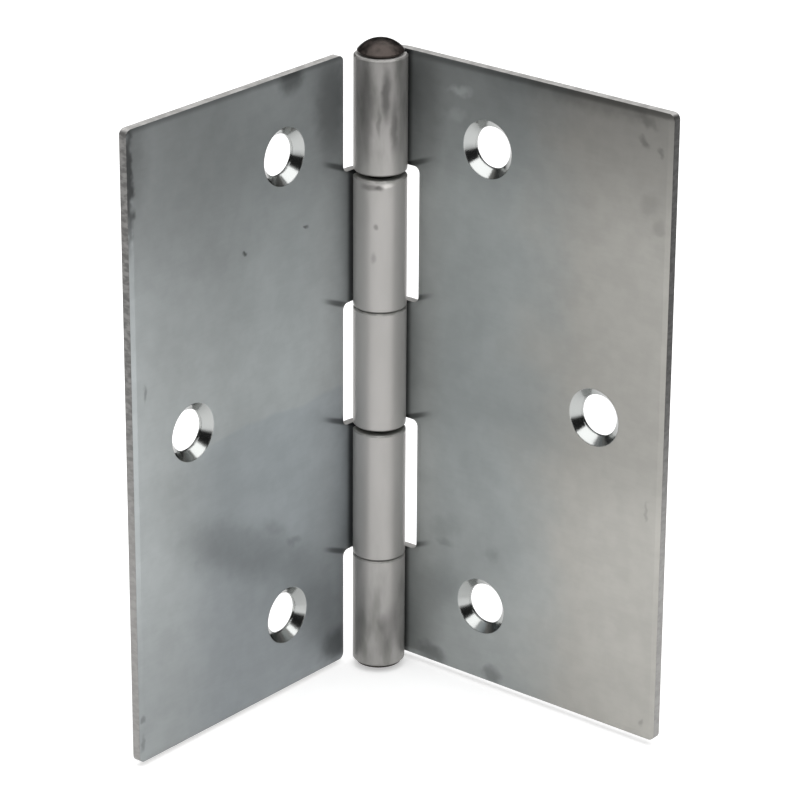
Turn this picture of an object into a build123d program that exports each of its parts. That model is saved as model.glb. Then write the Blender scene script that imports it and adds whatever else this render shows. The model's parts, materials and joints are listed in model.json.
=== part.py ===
"""Square butt hinge of rolled sheet steel, standing on end with its leaves at a right angle.

Each leaf is one piece of sheet. Tabs along its inner edge are rolled round the pin into closed
knuckles: three on one leaf, two on the other, meshed along the pin. The leaf passes behind its
knuckles, so its inner face is tangent to the barrel, and the tucked end of each roll almost
touches it. A pin with a rivet head at either end holds the leaves together.

The origin is in the middle of the back of the three-knuckle leaf, where it is screwed down. +Z runs
along the pin, +X along the three-knuckle leaf away from the pin, and +Y out of that leaf's back.
"""

import os
from math import asin, cos, degrees, radians, sin

from build123d import *

# Leaves, in millimetres
leaf_height = 80.0
leaf_reach = 40.7  # pin axis to a leaf's outer edge
opening = 90.0  # degrees between the leaves
sheet = 1.4
corner_round = 0.8  # corners of a leaf's outline and of its slots
rollover = 0.7  # width of the rim that shearing draws down round the inner face
rollover_depth = 0.12
edge_break = 0.2  # rim of the back, and of the knuckles' outsides

# Knuckles and pin
pin_diameter = 3.7
pin_clearance = 0.04  # radial, between pin and knuckle
end_knuckle = 14.6  # top and bottom knuckles of the three-knuckle leaf
middle_knuckle = 15.6
end_play = 0.6  # how far the two-knuckle leaf can slide along the pin
rest_gap = 0.05  # what is left of that play under the knuckles it rests on
curl_gap = 0.3  # between the tucked end of a roll and the leaf
tab_round = 1.0  # corners of a rolled tab's end
three_leaf_slot = 3.3  # pin axis to the edge of a slot, along the leaf
two_leaf_slot = 2.9

# Rivet heads of the pin
head_radius = 2.87
top_head_height = 1.85
top_head_rim = 0.46  # widest circle of the head above its seat
bottom_head_height = 0.95
bottom_head_rim = 0.3

# Countersunk screw holes
screw_hole = 5.2
countersink = 7.3
countersink_angle = 90.0
end_screw_reach = 13.8  # pin axis to the two end screws
end_screw_spacing = 60.0
middle_screw_reach = 30.5

# Worked out from the sizes above
bore_radius = pin_diameter / 2 + pin_clearance
barrel_radius = bore_radius + sheet
back_distance = barrel_radius + sheet
curl_end = degrees(asin((barrel_radius - curl_gap) / barrel_radius))
slot_length = (leaf_height - 2 * end_knuckle - middle_knuckle) / 2
meshing_knuckle = slot_length - end_play
drop = end_play / 2 - rest_gap
pin_middle = Vector(-leaf_reach / 2, -back_distance, 0)
rim_width = min(rollover, 0.9 * corner_round, 0.9 * tab_round)  # stays inside the rounded corners

# Section planes of the leaves: x along the leaf from the pin, y out of its inner face, z along the
# pin. The leaves face each other, so one is sectioned from the top down and the other upwards.
half_height = Vector(0, 0, leaf_height / 2)
three_leaf_section = Plane(pin_middle + half_height, x_dir=(1, 0, 0), z_dir=(0, 0, -1))
two_leaf_direction = Vector(cos(radians(opening)), -sin(radians(opening)), 0)
two_leaf_foot = pin_middle - half_height - Vector(0, 0, drop)
two_leaf_section = Plane(two_leaf_foot, x_dir=two_leaf_direction, z_dir=(0, 0, 1))


def roll_outline(tab_end):
    """Outline of a knuckle and its tab: flat tab, a quarter turn up from the leaf, then the roll.

    The quarter turn is struck one sheet thickness out from the pin, so the sheet comes in from
    behind the barrel to the pin's own circle.
    """
    roll_turn = 180 + curl_end
    end_direction = Vector(cos(radians(curl_end)), -sin(radians(curl_end)))
    Line((tab_end, -back_distance), (sheet, -back_distance))
    CenterArc((sheet, 0), back_distance, 270, -90)
    CenterArc((0, 0), barrel_radius, 180, -roll_turn)
    Line(end_direction * barrel_radius, end_direction * bore_radius)
    CenterArc((0, 0), bore_radius, -curl_end, roll_turn)
    CenterArc((sheet, 0), barrel_radius, 180, 90)
    Line((sheet, -barrel_radius), (tab_end, -barrel_radius))
    Line((tab_end, -barrel_radius), (tab_end, -back_distance))


def rolled_leaf(section, slot_edge, knuckle_spans):
    """One leaf: a plate, a rolled knuckle on each span along the pin, and three screw holes."""
    along_leaf = Axis(section.origin, section.x_dir)
    through_sheet = Axis(section.origin, section.y_dir)
    curl_direction = section.x_dir * cos(radians(curl_end)) - section.y_dir * sin(radians(curl_end))
    with BuildPart() as leaf:
        with BuildSketch(section):
            with Locations(((slot_edge + leaf_reach) / 2, -barrel_radius - sheet / 2)):
                Rectangle(leaf_reach - slot_edge, sheet)
        extrude(amount=leaf_height)
        for start, end in knuckle_spans:
            with BuildSketch(section.offset(start)):
                with BuildLine():
                    roll_outline(slot_edge)
                make_face()
            extrude(amount=end - start)

        # Corners of the sheared outline
        outline_corners = leaf.edges().filter_by(through_sheet).group_by(along_leaf)
        fillet(outline_corners[-1] + outline_corners[0], corner_round)
        fillet(leaf.edges().filter_by(Axis(section.origin, curl_direction)), tab_round)

        # Rims of the sheared outline, drawn down on the inner face and barely broken on the back.
        # The outline is smooth all the way round, so each rim runs on from the edge picked here.
        inner_face = leaf.faces().filter_by(through_sheet).sort_by(through_sheet)[-1]
        inner_edge = inner_face.edges().sort_by(along_leaf)[-1]
        chamfer(inner_edge, rim_width, rollover_depth, reference=inner_face)
        back_face = leaf.faces().filter_by(through_sheet).sort_by(through_sheet)[0]
        back_edge = back_face.edges().sort_by(along_leaf)[-1]
        chamfer(back_edge, edge_break)

        # Screw holes, sunk from the inner face
        middle = leaf_height / 2
        screws = [
            (end_screw_reach, middle - end_screw_spacing / 2),
            (middle_screw_reach, middle),
            (end_screw_reach, middle + end_screw_spacing / 2),
        ]
        for reach, height in screws:
            mouth = section.from_local_coords(Vector(reach, -barrel_radius, height))
            with Locations(Plane(mouth, x_dir=section.x_dir, z_dir=section.y_dir)):
                CounterSinkHole(screw_hole / 2, countersink / 2, sheet, countersink_angle)
    return leaf


def head_outline(seat, height, rim, side):
    """Half outline of a rivet head on its seat; side is 1 above the pin and -1 below it."""
    widest = (head_radius, seat + side * rim)
    seat_edge = (head_radius - rim, seat)
    Line((pin_diameter / 2, seat), seat_edge)
    TangentArc(seat_edge, widest, tangent=(1, 0))
    TangentArc((0, seat + side * height), widest, tangent=(1, 0))


# Leaf with three knuckles: both ends and the middle of the pin
middle_start = end_knuckle + slot_length
three_knuckle_leaf = rolled_leaf(
    three_leaf_section,
    three_leaf_slot,
    [
        (0, end_knuckle),
        (middle_start, middle_start + middle_knuckle),
        (leaf_height - end_knuckle, leaf_height),
    ],
)

# Leaf with two knuckles, centred on the slots of the other leaf before it drops on its play
first_mesh = end_knuckle + end_play / 2
second_mesh = leaf_height - first_mesh - meshing_knuckle
two_knuckle_leaf = rolled_leaf(
    two_leaf_section,
    two_leaf_slot,
    [
        (first_mesh, first_mesh + meshing_knuckle),
        (second_mesh, second_mesh + meshing_knuckle),
    ],
)

# Pin, with its heads seated on the end knuckles
with BuildPart() as hinge_pin:
    with BuildSketch(Plane(pin_middle, x_dir=(1, 0, 0), z_dir=(0, -1, 0))):
        with BuildLine():
            top = leaf_height / 2
            head_outline(top, top_head_height, top_head_rim, 1)
            Line((pin_diameter / 2, top), (pin_diameter / 2, -top))
            head_outline(-top, bottom_head_height, bottom_head_rim, -1)
            Line((0, -top - bottom_head_height), (0, top + top_head_height))
        make_face()
    revolve(axis=Axis(pin_middle, (0, 0, 1)))

pieces = {
    "three_knuckle_leaf": three_knuckle_leaf,
    "two_knuckle_leaf": two_knuckle_leaf,
    "hinge_pin": hinge_pin,
}
os.makedirs("parts", exist_ok=True)
for name, piece in pieces.items():
    piece.part.label = name
    export_step(piece.part, f"parts/{name}.step")
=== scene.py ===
"""Zinc-plated butt hinge on a white floor: finish of its leaves and pin, soft studio and camera."""
import json
from collections import namedtuple
from math import radians

import bpy
import numpy as np
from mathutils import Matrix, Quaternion, Vector


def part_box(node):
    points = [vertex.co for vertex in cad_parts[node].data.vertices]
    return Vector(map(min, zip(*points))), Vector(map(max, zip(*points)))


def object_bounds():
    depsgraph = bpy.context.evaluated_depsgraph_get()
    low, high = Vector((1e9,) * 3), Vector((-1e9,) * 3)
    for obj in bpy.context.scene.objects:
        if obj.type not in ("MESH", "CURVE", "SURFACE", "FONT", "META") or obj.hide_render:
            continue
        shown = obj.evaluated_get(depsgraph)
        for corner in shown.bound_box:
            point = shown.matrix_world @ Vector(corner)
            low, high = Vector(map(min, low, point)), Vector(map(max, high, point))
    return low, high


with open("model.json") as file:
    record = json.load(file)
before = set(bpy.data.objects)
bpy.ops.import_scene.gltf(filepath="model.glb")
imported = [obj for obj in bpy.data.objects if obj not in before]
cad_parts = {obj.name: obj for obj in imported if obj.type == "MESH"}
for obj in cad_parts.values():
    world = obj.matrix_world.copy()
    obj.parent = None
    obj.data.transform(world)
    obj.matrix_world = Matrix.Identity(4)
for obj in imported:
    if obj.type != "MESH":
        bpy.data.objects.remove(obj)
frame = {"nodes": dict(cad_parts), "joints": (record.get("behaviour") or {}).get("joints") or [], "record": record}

cad_low, cad_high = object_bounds()

# Places on the hinge, in metres
MM = 0.001
pin_place = Vector(frame["joints"][0]["pos_m"])
mounts = {mount["name"]: mount for mount in frame["record"]["mounts"]}
leaf_low, leaf_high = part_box("three_knuckle_leaf")
leaf_reach = leaf_high.x - pin_place.x  # pin axis to a leaf's outer edge
leaf_top = leaf_high.z
barrel_radius = pin_place.y - leaf_low.y
countersink_radius = 3.65 * MM
joint_heights = [25.4 * MM, 7.8 * MM, -7.8 * MM, -25.4 * MM]  # where one knuckle meets the next
bend_reach = 1.6 * MM  # just past the bend that leads to the knuckles

# How a face lies, by the share of its normal along a direction
square_on = 0.9
edge_on = 0.5
sloping = 0.4

# Camera, as the photograph was taken
camera_azimuth = radians(39.35)
camera_elevation = radians(22.4)
camera_roll = radians(0.35)
camera_distance = 0.473
view_centre = Vector((-0.0173, -0.0044, -0.0041))
lens = 172.6
sensor_width = 36

# Studio, in metres and watts
softbox_place = Vector((0.08, -0.05, 0.6))
softbox_size = 1.0
softbox_power = 6.2
sky_strength = 0.5
floor_half_width = 4.0
floor_lift = 0.42  # how much whiter the floor looks than it is lit, to the camera and in the metal
wall_radius = 1.0
wall_foot = 0.1  # above the floor
wall_head = 0.78

# Colours, linear
zinc_light = (0.465, 0.495, 0.50, 1)
# bluer, darker tint of the painted reflection low on the left leaf
painted_reflection_blue = (0.42, 0.455, 0.475, 1)
zinc_grey = (0.44, 0.465, 0.46, 1)
zinc_brown = (0.445, 0.435, 0.405, 1)
barrel_grey = (0.425, 0.413, 0.40, 1)
barrel_dark = (0.22, 0.22, 0.205, 1)
sheared_grey = (0.44, 0.432, 0.42)
cone_grey = (0.38, 0.39, 0.383, 1)
# grime on the joints, which also paints the shade in their gaps and on their downward-facing rims
grime_and_gap_shade = (0.25, 0.25, 0.235, 1)
pin_brown = (0.07, 0.058, 0.053, 1)
pin_black = (0.04, 0.034, 0.031, 1)
floor_white = (0.8, 0.8, 0.8, 1)
wall_black = (0.02, 0.02, 0.02, 1)

# Gloss: roughness, and how bare the metal is, from a matt film at 0 to cut metal at 1
sheet_roughness = (0.3, 0.36)
barrel_roughness = 0.38
cone_roughness = 0.14
edge_roughness = 0.45
pin_roughness = (0.34, 0.5)
sheet_bareness = 0.4
barrel_bareness = 0.5
cone_bareness = 1.0
edge_bareness = 0.25
film_tint = (0.7, 0.7, 0.7, 1)

# Noises, in patches to the metre
cloud_patches = 110.0  # slow unevenness of the plating
smudge_patches = 420.0
mottle_patches = 480.0
ragged_patches = 600.0  # outlines of marks
pin_patches = 900.0
dent_patches = 1100.0
tear_patches = 1500.0
grain_patches = 2200.0

# Relief
wave_depth = 0.012 * MM
tear_depth = 0.04 * MM
dent_depth = 0.06 * MM
edge_softness = 0.25 * MM
ragged_width = 1.8 * MM  # how far noise moves the outline of a mark

# A mark is a soft ellipse. Its middle and half sizes are in millimetres, its tilt in degrees, rising
# with the reach, and its darkness is the share of light it takes away, below zero where it is lighter.
Mark = namedtuple("Mark", "reach height half_length half_breadth tilt darkness")

# Marks on the inner faces
leaf_marks = {
    "two_knuckle_leaf": [
        Mark(12.5, 39.2, 2.6, 2.4, 0, 0.55),  # smear at the top edge
        Mark(5.5, 34.0, 9.0, 3.2, 90, 0.38),  # shade beside the top knuckle
        Mark(21.0, 19.5, 0.5, 0.4, 0, 0.7),  # two pits
        Mark(10.0, 20.2, 0.5, 0.3, 0, 0.6),
        Mark(38.7, 7.2, 1.0, 0.4, 80, 0.35),  # nick near the outer edge
        Mark(41.0, 37.0, 9.0, 4.0, 90, 0.35),  # tarnished outer corner
        Mark(40.5, 33.5, 9.5, 0.8, 90, 0.8),  # dark line along the upper outer rim
        Mark(22.0, -18.5, 15.0, 4.0, 25, 0.25),  # wiped smear and the spots at its end
        Mark(16.0, -17.5, 3.0, 1.2, 30, 0.14),
        Mark(12.5, -20.5, 1.5, 0.8, 20, 0.22),
        Mark(9.0, -30.0, 9.0, 5.0, 70, 0.18),  # tarnish round the lower screw hole
        Mark(18.0, -32.0, 16.0, 9.0, 40, 0.1),
        Mark(40.2, -34.5, 0.7, 0.4, 90, 0.35),  # nicks at the lower outer corner
        Mark(40.2, -37.8, 1.3, 0.4, 90, 0.3),
        Mark(4.6, -38.0, 3.4, 3.0, 0, 0.5),  # darker in the lower inner corner
    ],
    "three_knuckle_leaf": [
        Mark(9.6, 36.4, 1.9, 0.8, 10, -0.5),  # light scuffs beside the top knuckle
        Mark(9.0, 33.4, 1.8, 1.0, 10, -0.2),
        Mark(4.5, 32.0, 9.0, 3.0, 90, 0.25),  # shade beside the top knuckle
        Mark(28.0, 40.5, 18.0, 3.0, 0, 0.4),  # darker band along the top edge
        Mark(36.8, 38.6, 2.0, 0.9, -30, 0.3),  # spots at the upper outer corner
        Mark(36.6, 35.9, 1.0, 0.5, -50, 0.35),
        Mark(38.9, 35.2, 0.8, 0.4, -60, 0.3),
        Mark(37.6, 28.6, 1.8, 1.4, 60, 0.16),  # stains near the outer edge
        Mark(39.0, 26.0, 1.2, 0.9, 60, 0.15),
        Mark(8.4, -20.5, 3.4, 2.0, 25, 0.14),  # stains round the lower screw hole
        Mark(8.0, -23.0, 1.4, 0.7, 10, 0.2),
        Mark(15.6, -22.5, 1.1, 1.1, 0, 0.18),
        Mark(7.0, -29.0, 4.0, 3.4, 60, 0.12),
        Mark(6.0, -39.0, 2.8, 1.6, 0, 0.5),  # darker along the bottom edge
        Mark(15.6, -38.8, 1.9, 1.3, 0, 0.4),
        Mark(38.6, -10.0, 1.4, 0.35, 85, 0.2),  # nicks near the outer edge
        Mark(38.9, -38.0, 0.8, 0.4, 60, 0.25),
    ],
}

# Marks on the knuckles: here reach is degrees round the pin, from -Y towards +X
knuckle_marks = {
    "two_knuckle_leaf": [
        Mark(20.0, 24.0, 1.5, 0.5, 0, 0.45),  # painted shade and a painted highlight of dents under the top joint
        Mark(38.0, 24.0, 0.7, 0.4, 0, 0.5),
        Mark(56.0, 24.3, 0.9, 0.35, 0, -0.6),
        Mark(30.0, 19.0, 0.5, 0.35, 90, 0.4),  # spots
        Mark(25.0, 15.0, 0.9, 0.4, 90, 0.25),
    ],
    "three_knuckle_leaf": [
        Mark(52.0, 35.8, 4.0, 0.75, 90, 0.6),  # smudges down the top knuckle
        Mark(70.0, 31.5, 4.0, 0.7, 90, 0.45),
        Mark(10.0, 34.0, 7.0, 1.1, 90, 0.4),
        Mark(36.0, 32.0, 2.0, 0.3, 90, 0.25),
        Mark(47.0, -34.0, 1.6, 0.8, 90, 0.3),  # smudges on the bottom knuckle
        Mark(64.0, -35.0, 4.0, 1.3, 80, 0.35),
    ],
}


class Finish:
    """A material in the making: each method adds shader nodes and gives their output."""

    def __init__(self, name):
        self.material = bpy.data.materials.new(name)
        self.material.use_nodes = True
        self.tree = self.material.node_tree
        self.shader = self.tree.nodes["Principled BSDF"]

    def add(self, kind, inputs=(), **settings):
        """One node: settings are its properties; inputs pair a socket with a value or another output."""
        made = self.tree.nodes.new(kind)
        for name, value in settings.items():
            setattr(made, name, value)
        for socket, value in dict(inputs).items():
            if isinstance(value, bpy.types.NodeSocket):
                self.tree.links.new(value, made.inputs[socket])
            else:
                made.inputs[socket].default_value = value
        return made

    def calc(self, operation, *values):
        """A number worked out from other numbers."""
        return self.add("ShaderNodeMath", enumerate(values), operation=operation).outputs[0]

    def product(self, first, *others):
        """Numbers multiplied together."""
        for other in others:
            first = self.calc("MULTIPLY", first, other)
        return first

    def vector(self, operation, first, second):
        """A vector worked out from two others."""
        return self.add("ShaderNodeVectorMath", {0: first, 1: second}, operation=operation).outputs[0]

    def distance(self, place, middle):
        """How far a place is from a middle point."""
        inputs = {0: place, 1: middle}
        return self.add("ShaderNodeVectorMath", inputs, operation="DISTANCE").outputs["Value"]

    def scale(self, colour, factor):
        """A colour or vector times a number."""
        return self.add("ShaderNodeVectorMath", {0: colour, 3: factor}, operation="SCALE").outputs[0]

    def noise(self, place, patches, detail=2.0, output="Fac"):
        """Soft mottling about 0.5, mostly from 0.3 to 0.7; patches is how many fit in a metre."""
        inputs = {"Vector": place, "Scale": patches, "Detail": detail}
        return self.add("ShaderNodeTexNoise", inputs).outputs[output]

    def fade(self, value, start, end, low=0.0, high=1.0):
        """Goes smoothly from low to high as value goes from start to end."""
        inputs = {"Value": value, 1: start, 2: end, 3: low, 4: high}
        return self.add("ShaderNodeMapRange", inputs, interpolation_type="SMOOTHSTEP").outputs[0]

    def vary(self, noise, low, high):
        """Goes from low to high over a noise's usual range."""
        return self.fade(noise, 0.3, 0.7, low, high)

    def mix(self, factor, first, second):
        """Number between first, at factor 0, and second, at factor 1."""
        return self.add("ShaderNodeMix", {0: factor, 2: first, 3: second}).outputs[0]

    def blend(self, factor, first, second):
        """Colour between first, at factor 0, and second, at factor 1."""
        return self.add("ShaderNodeMix", {0: factor, 6: first, 7: second}, data_type="RGBA").outputs[2]

    def wire(self, **sockets):
        """Links outputs to the shader's sockets; an underscore in a name stands for a space."""
        for name, output in sockets.items():
            self.tree.links.new(output, self.shader.inputs[name.replace("_", " ")])


class LeafFinish(Finish):
    """The finish of one leaf, with the places, noises and parts of the leaf as outputs.

    place is measured from the pin and turned so that x is the reach along the leaf, y the depth through
    its sheet and z the height. A part is 1 where the leaf has it and 0 elsewhere.
    """

    def __init__(self, leaf, turn):
        super().__init__(leaf + "_zinc")
        self.leaf = leaf
        self.turn = turn

        # Places and directions
        coordinates = self.add("ShaderNodeTexCoord").outputs
        self.place = self.turned(self.vector("SUBTRACT", coordinates["Object"], pin_place))
        self.reach, self.depth, self.height = self.split(self.place)
        self.flat = self.add("ShaderNodeCombineXYZ", {0: self.reach, 2: self.height}).outputs[0]
        _, out_of_sheet, self.facing_up = self.split(self.turned(coordinates["Normal"]))
        sheet_facing = self.calc("ABSOLUTE", out_of_sheet)
        slope = self.calc("ABSOLUTE", self.facing_up)

        # Noises
        self.cloud = self.noise(self.place, cloud_patches)
        self.torn = self.noise(self.vector("MULTIPLY", self.place, (0.6, 0.6, 1.3)), tear_patches, 3.0)
        shift = self.noise(self.place, ragged_patches, output="Color")
        self.ragged = self.scale(self.vector("SUBTRACT", shift, (0.5, 0.5, 0.5)), ragged_width)

        # Inner face, which looks towards the pin
        towards_pin = self.calc("MULTIPLY", self.depth, out_of_sheet)
        self.inner = self.calc("LESS_THAN", towards_pin, -barrel_radius / 2)

        # Rolled barrel, inside its own radius
        across_pin = self.vector("MULTIPLY", self.place, (1.0, 1.0, 0.0))
        radius = self.distance(across_pin, (0, 0, 0))
        self.barrel = self.calc("LESS_THAN", radius, barrel_radius + 0.05 * MM)

        # Countersinks: inside the circle of a screw hole, but not on the flat faces of the sheet
        away = [self.distance(self.flat, (reach, 0, height)) for reach, height in screw_holes(leaf, turn)]
        nearest = self.calc("MINIMUM", self.calc("MINIMUM", away[0], away[1]), away[2])
        in_circle = self.calc("LESS_THAN", nearest, countersink_radius + 0.02 * MM)
        self.cone = self.calc("MULTIPLY", in_circle, self.calc("LESS_THAN", sheet_facing, square_on))

        # Sheared edges: ends of the knuckles, and the rim where it faces along the sheet
        end = self.calc("GREATER_THAN", slope, square_on)
        rim = self.product(
            self.calc("LESS_THAN", sheet_facing, edge_on),
            self.calc("GREATER_THAN", self.reach, bend_reach),
            self.calc("SUBTRACT", 1.0, self.barrel),
        )
        not_cone = self.calc("SUBTRACT", 1.0, self.cone)
        self.sheared = self.calc("MULTIPLY", self.calc("MAXIMUM", end, rim), not_cone)

        # Joints: sloping faces of the barrel, apart from its top
        below_top = self.calc("LESS_THAN", self.calc("ABSOLUTE", self.height), leaf_top - 2 * MM)
        # downward-facing rims count too, so that the barrel's bottom rim gets the painted shade of the joints
        underside_painted_dark = self.calc("LESS_THAN", self.facing_up, -sloping)
        joint_side = self.calc("MAXIMUM", below_top, underside_painted_dark)
        self.joint = self.product(self.calc("GREATER_THAN", slope, sloping), joint_side, self.barrel)

    def turned(self, vector):
        """A vector turned about the pin into the leaf's own directions."""
        return self.add("ShaderNodeMapping", {"Vector": vector, "Rotation": (0, 0, self.turn)}).outputs[0]

    def split(self, vector):
        """The three parts of a vector."""
        return self.add("ShaderNodeSeparateXYZ", {0: vector}).outputs


def screw_holes(leaf, turn):
    """Reach and height of a leaf's three screw holes, from its mounts."""
    end_screws = mounts[leaf + "_end_screws"]
    half = Vector((0, 0, end_screws["dims"]["spacing_y_mm"] * MM / 2))
    line_middle = Vector(end_screws["pos_m"])
    middle = Vector(mounts[leaf + "_middle_screw"]["pos_m"])
    places = [line_middle - half, middle, line_middle + half]
    turned = [Quaternion((0, 0, 1), turn) @ (place - pin_place) for place in places]
    return [(place.x, place.z) for place in turned]


def marks_on(finish, flat, marks):
    """Brightness that marks leave: each is full to a quarter of its half sizes and fades out just past
    its rim."""
    left = 1.0
    for mark in marks:
        centred = finish.vector("SUBTRACT", flat, (mark.reach * MM, 0, mark.height * MM))
        inputs = {"Vector": centred, "Angle": radians(mark.tilt)}
        along = finish.add("ShaderNodeVectorRotate", inputs, rotation_type="Y_AXIS").outputs[0]
        sizes = (1 / (mark.half_length * MM), 0, 1 / (mark.half_breadth * MM))
        away = finish.distance(finish.vector("MULTIPLY", along, sizes), (0, 0, 0))
        left = finish.calc("MULTIPLY", left, finish.fade(away, 0.25, 1.2, 1 - mark.darkness, 1.0))
    return left


def painted_joint_shadows(finish, start):
    """Brightness that the painted joint shadows leave: dark streaks that stand in for the shade and reflections of
    the joints. Each leaves its slot's end at the reach start, rises outwards and gets fainter."""
    slope = 0.4
    lift = 0.3 * MM
    half_breadth = 0.65 * MM
    length = 4.6 * MM
    rise = finish.calc("MULTIPLY", finish.calc("SUBTRACT", finish.reach, start), slope)
    level = finish.calc("SUBTRACT", finish.height, finish.calc("ADD", rise, lift))
    nearest = 1.0
    for joint in joint_heights:
        away = finish.calc("ABSOLUTE", finish.calc("SUBTRACT", level, joint))
        nearest = finish.calc("MINIMUM", nearest, away)
    across = finish.fade(nearest, half_breadth, 0.1 * MM)
    along = finish.fade(finish.reach, start + length, start + 0.5 * MM)
    return finish.fade(finish.product(across, along), 0.0, 1.0, 1.0, 0.35)


def right_leaf_tone_and_painted_light(finish):
    """Blue-grey beside the knuckles and brown-grey towards the outer edge, with painted shade for dimmer
    reflections: darker above the middle, at the top, and low down beside the knuckles."""
    reach, height = finish.reach, finish.height
    drift = finish.calc("MULTIPLY", finish.calc("SUBTRACT", finish.cloud, 0.5), 14 * MM)
    browned = finish.fade(finish.calc("ADD", reach, drift), 16 * MM, 30 * MM)
    colour = finish.blend(browned, zinc_grey, zinc_brown)
    # painted shade above the middle, at the top and low down beside the knuckles
    painted_shade_above_middle = finish.fade(height, -14 * MM, -2 * MM, 1.02, 0.82)
    painted_shade_low_corner = finish.fade(reach, 12 * MM, 38 * MM, 0.7, 0.93)
    painted_shade_low = finish.fade(height, -16 * MM, -leaf_top, 1.0, painted_shade_low_corner)
    painted_shade_top = finish.fade(height, 20 * MM, leaf_top, 1.0, 0.52)
    return finish.scale(colour, finish.product(painted_shade_above_middle, painted_shade_low, painted_shade_top))


def left_leaf_tone_and_painted_light(finish):
    """Light grey above a line, with a painted reflection below it that is bluer and darker, painted shade at the
    top and bottom and in the outer half, and painted light along the outer edge."""
    reach, height = finish.reach, finish.height
    drift = finish.calc("MULTIPLY", finish.calc("SUBTRACT", finish.cloud, 0.5), 3 * MM)
    # painted reflection: bluer and darker below a wavering line, towards the knuckles
    below_line = finish.fade(finish.calc("ADD", height, drift), -2.3 * MM, -3.0 * MM)
    painted_reflection_zone = finish.calc("MULTIPLY", below_line, finish.fade(reach, 36 * MM, 24 * MM))
    colour = finish.blend(painted_reflection_zone, zinc_light, painted_reflection_blue)
    # painted shade at the bottom, the top and the outer half; painted light along the outer edge
    painted_shade_low = finish.fade(height, -10 * MM, -34 * MM, 1.0, 0.72)
    painted_shade_top = finish.fade(height, 4 * MM, 36 * MM, 1.0, 0.54)
    painted_shade_outer_half = finish.fade(reach, 12 * MM, 28 * MM, 1.0, 0.86)
    painted_light_outer_edge = finish.fade(reach, 32 * MM, leaf_reach, 1.0, 1.06)
    return finish.scale(colour, finish.product(painted_shade_low, painted_shade_top, painted_shade_outer_half, painted_light_outer_edge))


def sheet_colour(finish, tone_and_painted_light, shadow_start):
    """The sheet's tone with its painted light, clouded, grained along the leaf and mottled. Its inner face also
    has the marks, the painted joint shadows, and painted shade along the top rim and in the crevice beside the
    knuckles."""
    along_leaf = finish.vector("MULTIPLY", finish.place, (0.15, 1.0, 1.0))
    all_over = finish.product(
        finish.vary(finish.cloud, 0.96, 1.04),
        finish.vary(finish.noise(along_leaf, grain_patches), 0.99, 1.01),
        finish.vary(finish.noise(finish.place, mottle_patches, 4.0), 0.965, 1.035),
    )
    inner_marks_and_shade = finish.product(
        marks_on(finish, finish.vector("ADD", finish.flat, finish.ragged), leaf_marks[finish.leaf]),
        # painted shadows of the joints
        painted_joint_shadows(finish, shadow_start),
        # painted shade under the top rim
        finish.fade(finish.height, leaf_top - 1.0 * MM, leaf_top - 0.3 * MM, 1.0, 0.6),
        # painted shade in the crevice beside the knuckles
        finish.fade(finish.reach, bend_reach, 2.5 * MM, 0.3, 1.0),
    )
    tone = finish.calc("MULTIPLY", all_over, finish.mix(finish.inner, 1.0, inner_marks_and_shade))
    return finish.scale(tone_and_painted_light(finish), tone)


def knuckle_colour(finish):
    """Grey barrel with dark smudges along the pin, most on the end knuckles, which are darker. Its marks
    lie on the unrolled barrel, where the reach is the angle round the pin times the barrel's radius."""
    height = finish.height
    along_pin = finish.vector("MULTIPLY", finish.place, (1.0, 1.0, 0.3))
    smudges = finish.fade(finish.noise(along_pin, smudge_patches, 3.0), 0.4, 0.68)
    end_knuckle = finish.fade(finish.calc("ABSOLUTE", height), 20 * MM, 36 * MM, 0.1, 0.8)
    colour = finish.blend(finish.product(smudges, end_knuckle), barrel_grey, barrel_dark)

    angle = finish.calc("ARCTAN2", finish.reach, finish.calc("MULTIPLY", finish.depth, -1.0))
    arc = finish.calc("MULTIPLY", finish.calc("SUBTRACT", angle, finish.turn), barrel_radius)
    unrolled = finish.add("ShaderNodeCombineXYZ", {0: arc, 2: height}).outputs[0]
    unrolled = finish.vector("ADD", unrolled, finish.scale(finish.ragged, 0.4))
    degree = radians(1) * barrel_radius / MM
    marks = [mark._replace(reach=mark.reach * degree) for mark in knuckle_marks[finish.leaf]]
    tone = finish.product(
        finish.fade(height, 24 * MM, 36 * MM, 1.0, 0.66),
        finish.fade(height, -26 * MM, -32 * MM, 1.0, 0.88),
        marks_on(finish, unrolled, marks),
    )
    return finish.scale(colour, tone)


def sheared_colour(finish, top_edge_tone):
    """Torn grey of the sheared edges. The outer edge is darker, and its upper part more nicked, with its
    brightness scaled by top_edge_tone."""
    outer = finish.fade(finish.reach, leaf_reach - 0.5 * MM, leaf_reach - 0.1 * MM)
    nicked = finish.fade(finish.height, -12 * MM, 12 * MM, 0.92, 0.55)
    nicks = finish.fade(finish.torn, 0.35, 0.65, finish.mix(outer, 0.8, nicked), 1.1)
    outer_tone = finish.fade(finish.height, -20 * MM, 10 * MM, 0.7, top_edge_tone)
    return finish.scale(sheared_grey, finish.product(nicks, finish.mix(outer, 1.0, outer_tone)))


def joint_grime_and_gap_shade(finish):
    """How dark a joint is painted, with grime that also stands for the shade in the gaps and on downward-facing
    rims: all over, but only in patches on the upper rims of knuckles, which are worn.
    """
    faces_up = finish.calc("GREATER_THAN", finish.facing_up, sloping)
    not_flat = finish.calc("LESS_THAN", finish.facing_up, square_on)
    upper_rim = finish.calc("MULTIPLY", faces_up, not_flat)
    patches = finish.fade(finish.torn, 0.4, 0.6, 0.2, 0.9)
    return finish.calc("MULTIPLY", finish.joint, finish.mix(upper_rim, 1.0, patches))


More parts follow.
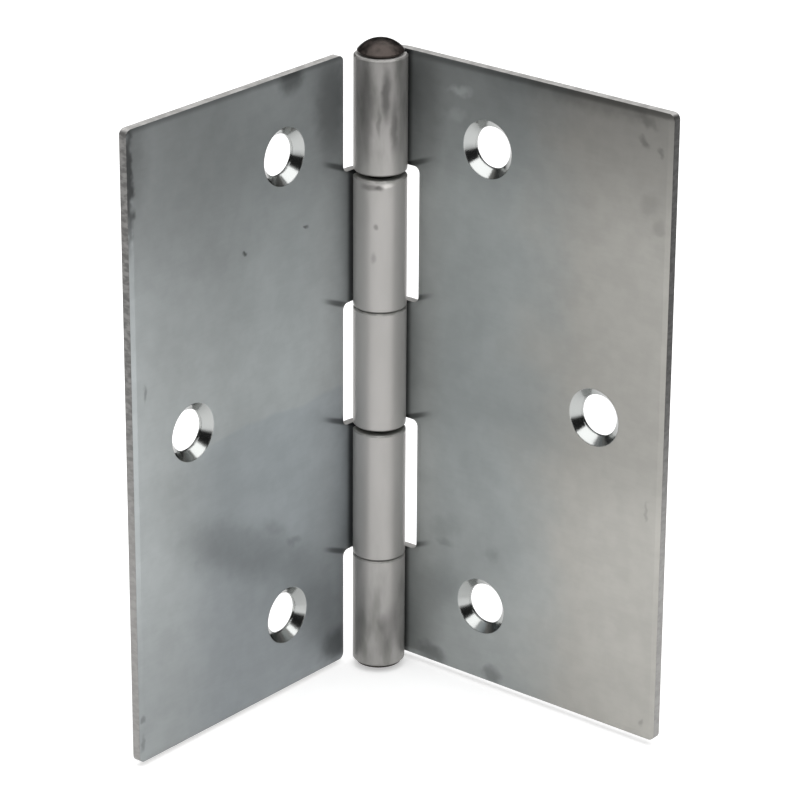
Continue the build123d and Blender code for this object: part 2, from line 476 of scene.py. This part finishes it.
def zinc_plating(leaf, turn, tone_and_painted_light, shadow_start, top_edge_tone):
    """Satin zinc plating: tone with painted light and marks on the sheet, smudges on the knuckles, dark joints
    partly painted as shade, mottled sheared edges and bright countersinks."""
    finish = LeafFinish(leaf, turn)
    barrel, cone, sheared = finish.barrel, finish.cone, finish.sheared

    colour = sheet_colour(finish, tone_and_painted_light, shadow_start)
    colour = finish.blend(barrel, colour, knuckle_colour(finish))
    colour = finish.blend(cone, colour, cone_grey)
    colour = finish.blend(sheared, colour, sheared_colour(finish, top_edge_tone))
    # grime on the joints, also painted shade in their gaps and on downward-facing rims
    colour = finish.blend(joint_grime_and_gap_shade(finish), colour, grime_and_gap_shade)

    rough = finish.vary(finish.cloud, *sheet_roughness)
    rough = finish.mix(barrel, rough, barrel_roughness)
    rough = finish.mix(cone, rough, cone_roughness)
    rough = finish.mix(finish.calc("MAXIMUM", sheared, finish.joint), rough, edge_roughness)

    # The film on the sheet is partly matt; rolling and cutting have bared the metal
    bare = finish.mix(barrel, sheet_bareness, barrel_bareness)
    bare = finish.mix(cone, bare, cone_bareness)
    bare = finish.mix(sheared, bare, edge_bareness)

    # Relief: slow waves of the rolled sheet, and torn metal on the sheared edges
    waves = finish.calc("MULTIPLY", finish.cloud, wave_depth)
    tears = finish.product(finish.torn, sheared, tear_depth)
    soft_edges = finish.add("ShaderNodeBevel", {"Radius": edge_softness}, samples=4).outputs[0]
    inputs = {"Height": finish.calc("ADD", waves, tears), "Distance": 1.0, "Normal": soft_edges}
    relief = finish.add("ShaderNodeBump", inputs).outputs[0]

    finish.shader.inputs["Specular Tint"].default_value = film_tint
    finish.wire(Base_Color=colour, Metallic=bare, Roughness=rough, Normal=relief)
    return finish.material


def dark_pin_steel():
    """Dark bare steel with a hammered, slightly oily face."""
    finish = Finish("pin_dark_steel")
    place = finish.add("ShaderNodeTexCoord").outputs["Object"]
    mottle = finish.fade(finish.noise(place, pin_patches), 0.35, 0.65)
    colour = finish.blend(mottle, pin_black, pin_brown)
    rough = finish.fade(mottle, 0.0, 1.0, *pin_roughness)
    dents = finish.calc("MULTIPLY", finish.noise(place, dent_patches, 1.0), dent_depth)
    relief = finish.add("ShaderNodeBump", {"Height": dents, "Distance": 1.0}).outputs[0]
    finish.shader.inputs["Metallic"].default_value = 1.0
    finish.wire(Base_Color=colour, Roughness=rough, Normal=relief)
    return finish.material


def white_floor():
    """Pale matt floor that the camera and the metal see as white, and that keeps the shadow."""
    finish = Finish("white_floor")
    rays = finish.add("ShaderNodeLightPath").outputs
    seen = finish.calc("MAXIMUM", rays["Is Camera Ray"], rays["Is Glossy Ray"])
    seen = finish.calc("MAXIMUM", seen, rays["Is Transmission Ray"])
    finish.shader.inputs["Base Color"].default_value = floor_white
    finish.shader.inputs["Roughness"].default_value = 0.9
    finish.shader.inputs["Specular IOR Level"].default_value = 0.0
    finish.shader.inputs["Emission Color"].default_value = (1, 1, 1, 1)
    finish.wire(Emission_Strength=finish.calc("MULTIPLY", seen, floor_lift))
    return finish.material


def dark_wall():
    """Dark studio wall."""
    finish = Finish("dark_wall")
    finish.shader.inputs["Base Color"].default_value = wall_black
    finish.shader.inputs["Roughness"].default_value = 1.0
    return finish.material


def surface(name, points, material, closed=False):
    """A stage mesh on a grid of points; closed joins its last column to the first."""
    rows, columns = points.shape[:2]
    number = np.arange(rows * columns).reshape(rows, columns)
    beside = np.roll(number, -1, axis=1)
    corners = np.stack([number[:-1], beside[:-1], beside[1:], number[1:]], axis=-1)
    corners = corners if closed else corners[:, :-1]
    mesh = bpy.data.meshes.new(name)
    mesh.from_pydata(points.reshape(-1, 3).tolist(), [], corners.reshape(-1, 4).tolist())
    mesh.materials.append(material)
    made = bpy.data.objects.new(name, mesh)
    bpy.context.scene.collection.objects.link(made)
    return made


def floor_under(height):
    """A square of floor: x and y run over the grid at one height."""
    steps = np.linspace(-floor_half_width, floor_half_width, 3)
    x, y = np.meshgrid(steps, steps)
    surface("floor", np.stack([x, y, np.full_like(x, height)], axis=-1), white_floor())


def studio_wall(height):
    """A dark band round the hinge, radius times cosine and sine; only the metal sees it."""
    levels = [height + wall_foot, height + wall_head]
    angle, level = np.meshgrid(np.linspace(0, 2 * np.pi, 64, endpoint=False), levels)
    points = np.stack([wall_radius * np.cos(angle), wall_radius * np.sin(angle), level], axis=-1)
    wall = surface("studio_wall", points, dark_wall(), closed=True)
    wall.visible_camera = False
    wall.visible_diffuse = False
    wall.visible_shadow = False


def overhead_softbox():
    """A square lamp above the hinge, facing it."""
    lamp = bpy.data.lights.new("overhead_softbox", "AREA")
    lamp.size = softbox_size
    lamp.energy = softbox_power
    made = bpy.data.objects.new("overhead_softbox", lamp)
    made.location = softbox_place
    made.rotation_mode = "QUATERNION"
    made.rotation_quaternion = (view_centre - softbox_place).to_track_quat("-Z", "Y")
    bpy.context.scene.collection.objects.link(made)


def studio_world():
    """Even white sky."""
    world = bpy.data.worlds.new("studio")
    world.use_nodes = True
    background = world.node_tree.nodes["Background"]
    background.inputs["Color"].default_value = (1, 1, 1, 1)
    background.inputs["Strength"].default_value = sky_strength
    bpy.context.scene.world = world


def photograph_camera():
    """Camera at the photograph's angle, turned a little about its own line of sight."""
    flat = Quaternion((0, 0, 1), camera_azimuth) @ Vector((0, -1, 0))
    sideways = flat.cross(Vector((0, 0, 1)))
    back = Quaternion(sideways, camera_elevation) @ flat
    camera = bpy.data.cameras.new("camera")
    camera.lens = lens
    camera.sensor_width = sensor_width
    camera.clip_start = 0.01
    made = bpy.data.objects.new("camera", camera)
    made.location = view_centre + back * camera_distance
    made.rotation_mode = "QUATERNION"
    made.rotation_quaternion = (-back).to_track_quat("-Z", "Y") @ Quaternion((0, 0, 1), camera_roll)
    bpy.context.scene.collection.objects.link(made)
    bpy.context.scene.camera = made


def finish_node(name, material):
    """Gives a CAD node its finish."""
    slots = frame["nodes"][name].data.materials
    slots.clear()
    slots.append(material)


# The leaves stand at a right angle, so the left one is turned a quarter turn to lie as the right one does
right_leaf_zinc = zinc_plating(
    "three_knuckle_leaf", 0.0, right_leaf_tone_and_painted_light, shadow_start=2.2 * MM, top_edge_tone=0.14
)
left_leaf_zinc = zinc_plating(
    "two_knuckle_leaf", radians(90), left_leaf_tone_and_painted_light, shadow_start=3.5 * MM, top_edge_tone=0.5
)
finish_node("three_knuckle_leaf", right_leaf_zinc)
finish_node("two_knuckle_leaf", left_leaf_zinc)
finish_node("hinge_pin", dark_pin_steel())

floor_level = cad_low.z
floor_under(floor_level)
studio_wall(floor_level)
overhead_softbox()
studio_world()
photograph_camera()
bpy.context.scene.view_settings.view_transform = "Standard"
